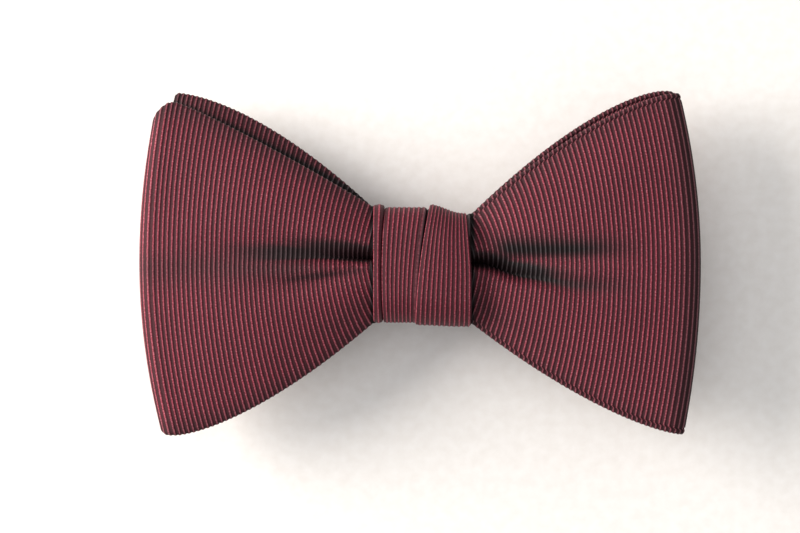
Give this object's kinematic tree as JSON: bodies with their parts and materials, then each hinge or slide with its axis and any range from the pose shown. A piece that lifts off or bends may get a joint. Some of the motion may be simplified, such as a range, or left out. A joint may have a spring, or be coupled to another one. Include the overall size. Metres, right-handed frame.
{
  "type": "bow tie",
  "caption": "Pre-tied butterfly bow tie in ribbed silk, with folded loops, flat ends, a wrapped knot and a folded neck band closed by a hook and eye",
  "frame": {"origin": "middle of the bounding box at its base, on the surface that the folded neck band lies on", "axes": "+X across the bow to the viewer's right, +Y to the bow's upper edge, +Z to its front"},
  "size_m": [0.1202, 0.0732, 0.0261],
  "materials": {
    "silk": "ribbed silk, dark burgundy and black with crimson rib lines",
    "back_silk": "the same ribbed silk on the reverse ply",
    "interlining": "brushed wool interlining",
    "thread": "dark sewing thread",
    "nickel": "nickel-plated brass sheet"
  },
  "bodies": {
    "knot": {"knot_cloth": "silk", "knot_interlining": "interlining", "knot_stitches": "thread", "front_bow_centre": "silk", "back_bow_centre": "silk", "centre_binding": "thread", "band_middle_sleeve": "silk", "band_middle_core": "interlining"},
    "left_front": {"left_loop_face_ply": "silk", "left_loop_interlining": "interlining", "left_loop_lining_ply": "back_silk"},
    "left_back": {"left_end_face_ply": "silk", "left_end_interlining": "interlining", "left_end_lining_ply": "back_silk"},
    "right_front": {"right_end_face_ply": "silk", "right_end_interlining": "interlining", "right_end_lining_ply": "back_silk"},
    "right_back": {"right_loop_face_ply": "silk", "right_loop_interlining": "interlining", "right_loop_lining_ply": "back_silk"},
    "band_left_pass": {"band_left_pass_sleeve": "silk", "band_left_pass_core": "interlining", "band_left_outer_fold": "silk"},
    "band_left_end": {"band_left_end_sleeve": "silk", "band_left_end_core": "interlining", "band_left_inner_fold": "silk", "eye_loop": "silk", "eye_tack": "thread"},
    "eye": {"eye": "nickel"},
    "band_right_pass": {"band_right_pass_sleeve": "silk", "band_right_pass_core": "interlining", "band_right_outer_fold": "silk"},
    "band_right_end": {"band_right_end_sleeve": "silk", "band_right_end_core": "interlining", "band_right_inner_fold": "silk", "hook_loop": "silk", "return_strand": "silk"},
    "slide": {"slide": "nickel", "slide_loop": "silk", "slide_tack": "thread"},
    "hook": {"hook": "nickel"}
  },
  "joints": [
    {"name": "left_front_flex", "type": "hinge", "parent": "knot", "child": "left_front", "pos_m": [-0.01035, -0.0006, 0.0233], "axis": [0, 1, 0], "range_deg": [0, 18], "stiffness_Nm_per_rad": 0.03},
    {"name": "left_back_flex", "type": "hinge", "parent": "knot", "child": "left_back", "pos_m": [-0.01035, -0.0006, 0.0148], "axis": [0, 1, 0], "range_deg": [0, 9]},
    {"name": "right_front_flex", "type": "hinge", "parent": "knot", "child": "right_front", "pos_m": [0.01105, -0.0006, 0.0233], "axis": [0, -1, 0], "range_deg": [0, 18], "stiffness_Nm_per_rad": 0.03},
    {"name": "right_back_flex", "type": "hinge", "parent": "knot", "child": "right_back", "pos_m": [0.01105, -0.0006, 0.0172], "axis": [0, -1, 0], "range_deg": [0, 9]},
    {"name": "left_unfold", "type": "hinge", "parent": "knot", "child": "band_left_pass", "pos_m": [-0.0546, -0.0006, 0.00935], "axis": [0, 1, 0], "range_deg": [0, 178], "deforming": ["band_left_outer_fold"]},
    {"name": "left_end_unfold", "type": "hinge", "parent": "band_left_pass", "child": "band_left_end", "pos_m": [-0.005, -0.0006, 0.00555], "axis": [0, -1, 0], "range_deg": [0, 178], "deforming": ["band_left_inner_fold"]},
    {"name": "right_unfold", "type": "hinge", "parent": "knot", "child": "band_right_pass", "pos_m": [0.0546, -0.0006, 0.00935], "axis": [0, -1, 0], "range_deg": [0, 178], "deforming": ["band_right_outer_fold"]},
    {"name": "right_end_unfold", "type": "hinge", "parent": "band_right_pass", "child": "band_right_end", "pos_m": [0.005, -0.0006, 0.00555], "axis": [0, 1, 0], "range_deg": [0, 178], "deforming": ["band_right_inner_fold"]},
    {"name": "size_slide", "type": "slide", "parent": "band_right_end", "child": "slide", "axis": [1, 0, 0], "range_m": [-0.007, 0.014], "deforming": ["return_strand"]},
    {"name": "eye_swing", "type": "hinge", "parent": "band_left_end", "child": "eye", "pos_m": [-0.046, -0.0006, 0.0024], "axis": [0, -1, 0], "range_deg": [-10, 75]},
    {"name": "hook_swing", "type": "hinge", "parent": "band_right_end", "child": "hook", "pos_m": [0.046, -0.0006, 0.0024], "axis": [0, 1, 0], "range_deg": [-4, 75]}
  ],
  "couplings": [
    {"joint": "left_back_flex", "follows": "left_front_flex", "ratio": 0.5},
    {"joint": "right_back_flex", "follows": "right_front_flex", "ratio": 0.5},
    {"joint": "left_end_unfold", "follows": "left_unfold", "ratio": 1},
    {"joint": "right_end_unfold", "follows": "right_unfold", "ratio": 1}
  ]
}
